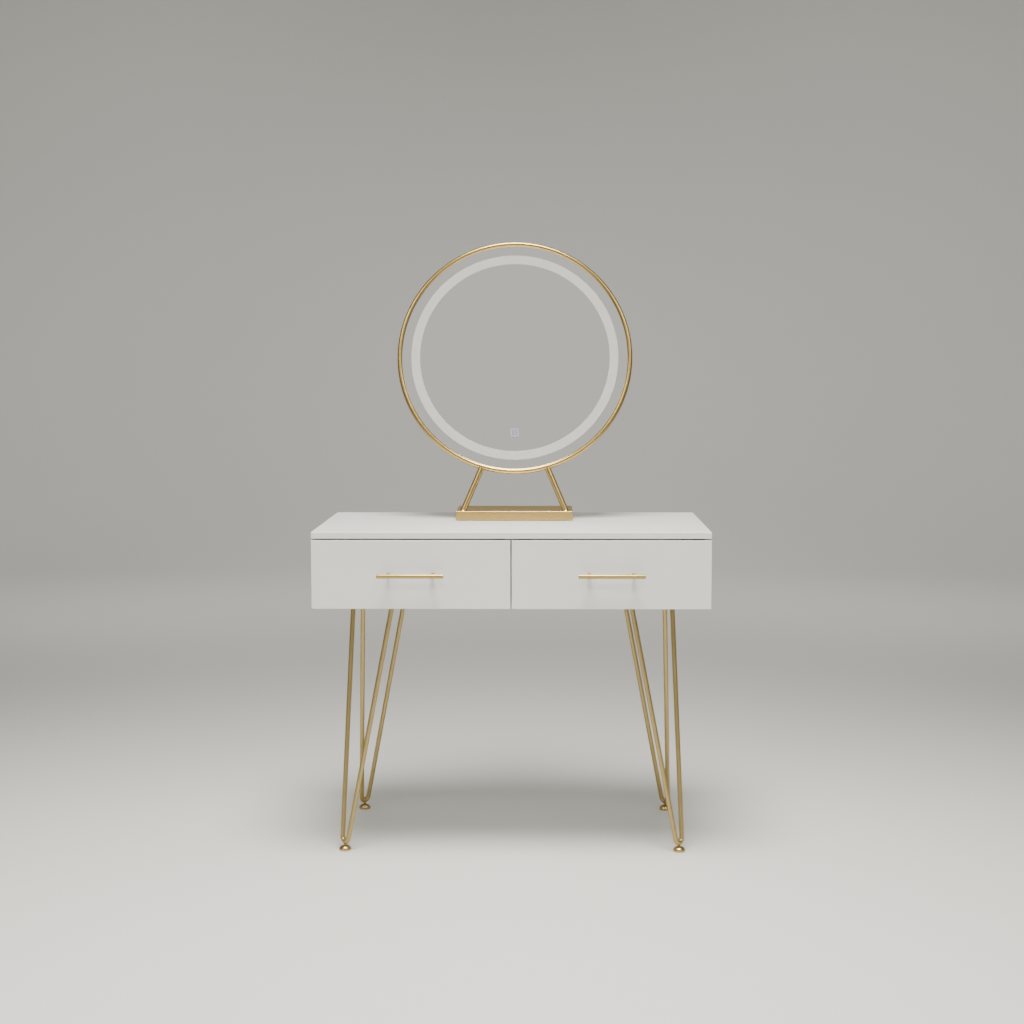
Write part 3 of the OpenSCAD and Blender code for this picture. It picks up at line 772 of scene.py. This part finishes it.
def mirror_disc(place):
    """The round glass, silvered but for its frosted band."""
    profile = [(radius, GLASS_FRONT) for radius in PANE_RINGS]
    profile += [(GLASS_R, GLASS_FRONT - GLASS_EASE), (GLASS_R, GLASS_BACK), (0, GLASS_BACK)]
    mesh = bmesh.new()
    faces = add_lathe(mesh, profile, steps=256, place=place)
    turn = place.inverted()
    for face in faces:
        spot = turn @ face.calc_center_median()
        if spot.z > GLASS_FRONT - 0.1 and BAND[0] < spot.xy.length < BAND[1]:
            face.material_index = 1
    piece("mirror_pane", mesh, "mirror", "mirror_glass", "mirror_glass", extra=[FROSTED])


def touch_symbol(place):
    """A small lit square with rounded corners and two dashes inside, printed on the pane."""
    mesh = bmesh.new()
    loops = []
    for size, radius in zip((SYMBOL_HALF, SYMBOL_HALF - SYMBOL_LINE), SYMBOL_CORNERS):
        outline = []
        for quarter, (sx, sy) in enumerate(((1, 1), (-1, 1), (-1, -1), (1, -1))):
            spot = (sx * (size - radius), sy * (size - radius))
            outline += arc(spot, radius, 90 * quarter, 90 * quarter + 90, 5)
        for height in (SYMBOL_FRONT, SYMBOL_BACK):
            loops.append([mesh.verts.new((x, y + SYMBOL_Y, height)) for x, y in outline])
    outer_front, outer_back, inner_front, inner_back = loops
    for first, second in ((outer_front, inner_front), (outer_back, outer_front),
                          (inner_front, inner_back), (inner_back, outer_back)):
        for i in range(len(first)):
            j = (i + 1) % len(first)
            mesh.faces.new([first[i], first[j], second[j], second[i]])
    for y in (SYMBOL_Y - DASH_OFFSET, SYMBOL_Y + DASH_OFFSET):
        add_block(mesh, (-DASH_HALF_LENGTH, y - DASH_HALF_WIDTH, SYMBOL_BACK),
                  (DASH_HALF_LENGTH, y + DASH_HALF_WIDTH, SYMBOL_FRONT), radius=0.1, steps=1)
    bmesh.ops.transform(mesh, matrix=place, verts=mesh.verts)
    symbol = piece("touch_symbol", mesh, "mirror", "electronics")
    symbol.data.materials[0] = SYMBOL


def struts(place):
    """Two round struts from the ring down to the base, each with a small weld at the base."""
    base_top = box_mm("mirror_base")[1].z
    head_y = -math.sqrt(RING_R ** 2 - STRUT_HEAD_X ** 2)
    foot_y = -(place.translation.z - base_top) / math.cos(LEAN)
    weld = [(STRUT_R + out, height) for out, height in STRUT_WELD]
    for side, sign in (("left", -1), ("right", 1)):
        top = place @ Vector((sign * STRUT_HEAD_X, head_y, 0))
        bottom = place @ Vector((sign * STRUT_FOOT_X, foot_y, 0))
        along = (bottom - top).normalized()
        mesh = bmesh.new()
        ends = [top + along * STRUT_START, bottom + along * STRUT_SPARE]
        add_tube(mesh, ends, STRUT_R, sides=40)
        reach, deep = 400, 60
        below = block((-reach, -reach, base_top - deep), (reach, reach, base_top),
                      radius=0.01, steps=1)
        mesh = cut(mesh, below)
        add_lathe(mesh, weld, steps=48, place=Matrix.Translation(bottom), closed=True)
        piece(f"{side}_strut_tube", mesh, "mirror", "gold_mirror_frame", f"{side}_strut")


def mirror_stand():
    """The base: a shell open underneath, closed by a steel plate on four rubber pads."""
    low, high = box_mm("mirror_base")
    wall, top, below = (Vector(v) for v in (
        (SHELL_WALL, SHELL_WALL, 0), (0, 0, SHELL_WALL), (0, 0, POCKET_DROP)))
    pocket = block(low + wall - below, high - wall - top, SHELL_INNER_EDGE, steps=2)
    shell = cut(block(low, high, SHELL_EDGE, steps=4), pocket)
    piece("stand_base", shell, "mirror", "gold_mirror_frame", "mirror_base", even=True)

    low, high = box_mm("mirror_base_plate")
    gap = Vector((SOLE_GAP, SOLE_GAP, 0))
    sole = block(low + gap, high - gap, SOLE_EDGE, steps=2)
    piece("stand_sole", sole, "mirror", "base_plate_steel", "mirror_base_plate", even=True)

    low, high = box_mm("mirror_base_pads")
    profile = [(0, high.z), (PAD_R, high.z), (PAD_R, low.z + PAD_EASE),
               (PAD_R - PAD_EASE, low.z), (0, low.z)]
    pads = bmesh.new()
    for x in (low.x + PAD_R, high.x - PAD_R):
        for y in (low.y + PAD_R, high.y - PAD_R):
            add_lathe(pads, profile, steps=40, place=Matrix.Translation((x, y, 0)))
    piece("stand_pads", pads, "mirror", "rubber_pads", "mirror_base_pads")


def mirror_back(place):
    """The pressed back cover with its flange, a shallow swage and its screws."""
    flange_back = SEAT_BACK - COVER_SHEET
    inner_r = COVER_R - COVER_SHEET
    soft_spot = (COVER_R - COVER_SOFT, -COVER_DEPTH + COVER_SOFT)
    profile = [(0, -COVER_DEPTH), (SWAGE_IN, -COVER_DEPTH),
               (SWAGE_IN + SWAGE_SLOPE, -COVER_DEPTH + SWAGE_RISE),
               (SWAGE_OUT - SWAGE_SLOPE, -COVER_DEPTH + SWAGE_RISE), (SWAGE_OUT, -COVER_DEPTH)]
    profile += arc(soft_spot, COVER_SOFT, -90, 0, 8)
    profile += [(COVER_R, flange_back - FLANGE_BEND)]
    profile += arc((COVER_R + FLANGE_BEND, flange_back - FLANGE_BEND), FLANGE_BEND, 180, 90, 4)
    profile += [(FLANGE_R, flange_back), (FLANGE_R, SEAT_BACK), (inner_r, SEAT_BACK)]
    profile += [(inner_r, -COVER_DEPTH + COVER_SOFT)]
    profile += arc(soft_spot, COVER_SOFT - COVER_SHEET, 0, -90, 6)
    profile += [(0, -COVER_DEPTH + COVER_SHEET)]
    pan = lathe(profile, steps=192, place=place)
    piece("back_pan", pan, "mirror", "back_cover", "back_cover", even=True)
    head = cross_head(diameter=5.0, height=1.6)
    screws = bmesh.new()
    for i in range(COVER_SCREWS):
        angle = 2 * math.pi * (i + 0.5) / COVER_SCREWS
        spot = Vector((RING_R * math.cos(angle), RING_R * math.sin(angle), flange_back))
        spin = Matrix.Rotation(i, 4, "Z")
        copy_into(screws, head, place @ facing(spot, (0, 0, -1)) @ spin)
    head.free()
    piece("back_screw_heads", screws, "mirror", "zinc_fittings", "back_cover_screws", sharp=30)


# ---------------------------------------------------------------- studio
# In metres.

LIGHT_COLOR = (1.0, 0.985, 0.925)
POOLS = {  # spot, target, spread in degrees, radius of the lamp, power in watts
    "overhead": ((0.0, -1.2, 4.4), (0.0, -1.1, 0.0), 77.0, 1.05, 1720),
    "floor_behind": ((0.0, 2.6, 6.0), (0.0, 2.9, 0.0), 62.0, 0.6, 490),
    "backdrop_left": ((-2.5, 1.6, 5.2), (-2.5, 6.1, 0.4), 84.0, 0.6, 435),
    "backdrop_right": ((2.5, 1.6, 5.2), (2.5, 6.1, 0.4), 84.0, 0.6, 435),
    "floor_front": ((0.0, -8.0, 7.5), (0.0, -8.0, 0.0), 96.0, 1.0, 500),
}
BOX_SPOTS = {"left": (-2.3, -3.3, 3.6), "right": (2.3, -3.3, 3.6)}
BOX_TARGET, BOX_SIZE, BOX_POWER = (0.0, 0.0, 0.8), (2.6, 1.0), 41
FLOOR_REACH = 14.0
FLOOR_END, SWEEP_R, WALL_RISE = 5.0, 2.5, 5.0
FLOOR_STRIPS, WALL_STRIPS = 60, 12
BRIGHT_SIDE = (0.0, -0.93, 0.37)
SKY_PLACES = (0.35, 0.94)
SKY_COLORS = ((0.235, 0.231, 0.215), (0.60, 0.590, 0.545))
HORIZON_COLOR = (0.25, 0.246, 0.23)
HORIZON_HEIGHT = math.sin(math.radians(15))
CAMERA_SPOT = (0.0746, -4.061, 1.1382)
CAMERA_TURN = (-1.08, 5.141, -0.069)  # yaw, pitch down and roll, in degrees
CAMERA_LENS, CAMERA_SENSOR = 60.38, 36.0  # in millimetres


def sweep():
    """A pale seamless sweep: a wide floor that bends up into a wall."""
    depth = FLOOR_END + FLOOR_REACH
    floor = [(-FLOOR_REACH + depth * i / FLOOR_STRIPS, 0.0) for i in range(FLOOR_STRIPS)]
    bend = arc((FLOOR_END, SWEEP_R), SWEEP_R, -90, 0, FLOOR_STRIPS)
    wall = [(FLOOR_END + SWEEP_R, SWEEP_R + WALL_RISE * i / WALL_STRIPS)
            for i in range(1, WALL_STRIPS + 1)]
    mesh = bmesh.new()
    left, right = ([mesh.verts.new((x, y, z)) for y, z in floor + bend + wall]
                   for x in (-FLOOR_REACH, FLOOR_REACH))
    for i in range(len(left) - 1):
        mesh.faces.new([left[i], left[i + 1], right[i + 1], right[i]])
    data = bpy.data.meshes.new("sweep")
    mesh.to_mesh(data)
    mesh.free()
    data.polygons.foreach_set("use_smooth", [True] * len(data.polygons))
    thing = bpy.data.objects.new("sweep", data)
    bpy.context.scene.collection.objects.link(thing)
    paper = Paint("paper_sweep", (0.66, 0.655, 0.635), 0.85)
    paper.blend(paper.noise(0.6, detail=2.0), (0.655, 0.65, 0.63), (0.665, 0.66, 0.64))
    data.materials.append(paper.material)


def sky():
    """Soft light from all round, brightest from the front and above, even at the horizon."""
    world = bpy.data.worlds.new("studio")
    bpy.context.scene.world = world
    world.use_nodes = True
    nodes, links = world.node_tree.nodes, world.node_tree.links
    direction = nodes.new("ShaderNodeTexCoord").outputs["Generated"]
    facing_front = nodes.new("ShaderNodeVectorMath")
    facing_front.operation = "DOT_PRODUCT"
    facing_front.inputs[1].default_value = BRIGHT_SIDE
    links.new(direction, facing_front.inputs[0])
    ramp = nodes.new("ShaderNodeValToRGB")
    ramp.color_ramp.interpolation = "EASE"
    set_ramp(ramp, SKY_PLACES, SKY_COLORS)
    links.new(facing_front.outputs["Value"], ramp.inputs["Fac"])
    axes = nodes.new("ShaderNodeSeparateXYZ")
    links.new(direction, axes.inputs["Vector"])
    above = nodes.new("ShaderNodeMapRange")
    above.interpolation_type = "SMOOTHSTEP"
    above.inputs["From Max"].default_value = HORIZON_HEIGHT
    links.new(axes.outputs["Z"], above.inputs["Value"])
    mix = nodes.new("ShaderNodeMix")
    mix.data_type = "RGBA"
    mix.inputs["A"].default_value = (*HORIZON_COLOR, 1)
    links.new(above.outputs["Result"], mix.inputs["Factor"])
    links.new(ramp.outputs["Color"], mix.inputs["B"])
    links.new(mix.outputs["Result"], nodes["Background"].inputs["Color"])


def add_light(data, spot, target, power):
    data.energy = power
    data.color = LIGHT_COLOR
    light = bpy.data.objects.new(data.name, data)
    light.location = spot
    aim = Vector(target) - Vector(spot)
    light.rotation_euler = aim.to_track_quat("-Z", "Y").to_euler()
    light.visible_camera = False
    bpy.context.scene.collection.objects.link(light)


def lights():
    """Soft round pools on the table, the floor and the wall, and two soft boxes.

    The soft boxes are wide, and high enough that the mirror doesn't show them from the front.
    """
    for name, (spot, target, spread, radius, power) in POOLS.items():
        data = bpy.data.lights.new(name, "SPOT")
        data.spot_size = math.radians(spread)
        data.spot_blend = 1.0
        data.shadow_soft_size = radius
        add_light(data, spot, target, power)
    for side, spot in BOX_SPOTS.items():
        data = bpy.data.lights.new(side, "AREA")
        data.shape, data.size, data.size_y = "RECTANGLE", *BOX_SIZE
        add_light(data, spot, BOX_TARGET, BOX_POWER)


def camera():
    """A view from the front, a little above the table top, looking slightly down."""
    yaw, pitch, roll = (math.radians(a) for a in CAMERA_TURN)
    ahead = Vector((math.sin(yaw) * math.cos(pitch), math.cos(yaw) * math.cos(pitch),
                    -math.sin(pitch)))
    right = Vector((math.cos(yaw), -math.sin(yaw), 0))
    up = right.cross(ahead)
    right, up = (right * math.cos(roll) + up * math.sin(roll),
                 up * math.cos(roll) - right * math.sin(roll))
    data = bpy.data.cameras.new("view")
    data.lens = CAMERA_LENS
    data.sensor_width = CAMERA_SENSOR
    eye = bpy.data.objects.new("view", data)
    turn = Matrix((right, up, -ahead)).transposed().to_4x4()
    eye.matrix_world = Matrix.Translation(CAMERA_SPOT) @ turn
    bpy.context.scene.collection.objects.link(eye)
    bpy.context.scene.camera = eye


dress_cad_nodes()
carcass()
for side in SIDES:
    drawer(side)
    slide_rails(side, "outer", "table")
    slide_rails(side, "middle", f"{side}_slide_middle")
    slide_rails(side, "inner", f"{side}_drawer")
legs()
feet()
mirror = mirror_place()
mirror_ring(mirror)
mirror_disc(mirror)
touch_symbol(mirror)
struts(mirror)
mirror_stand()
mirror_back(mirror)
sweep()
sky()
lights()
camera()
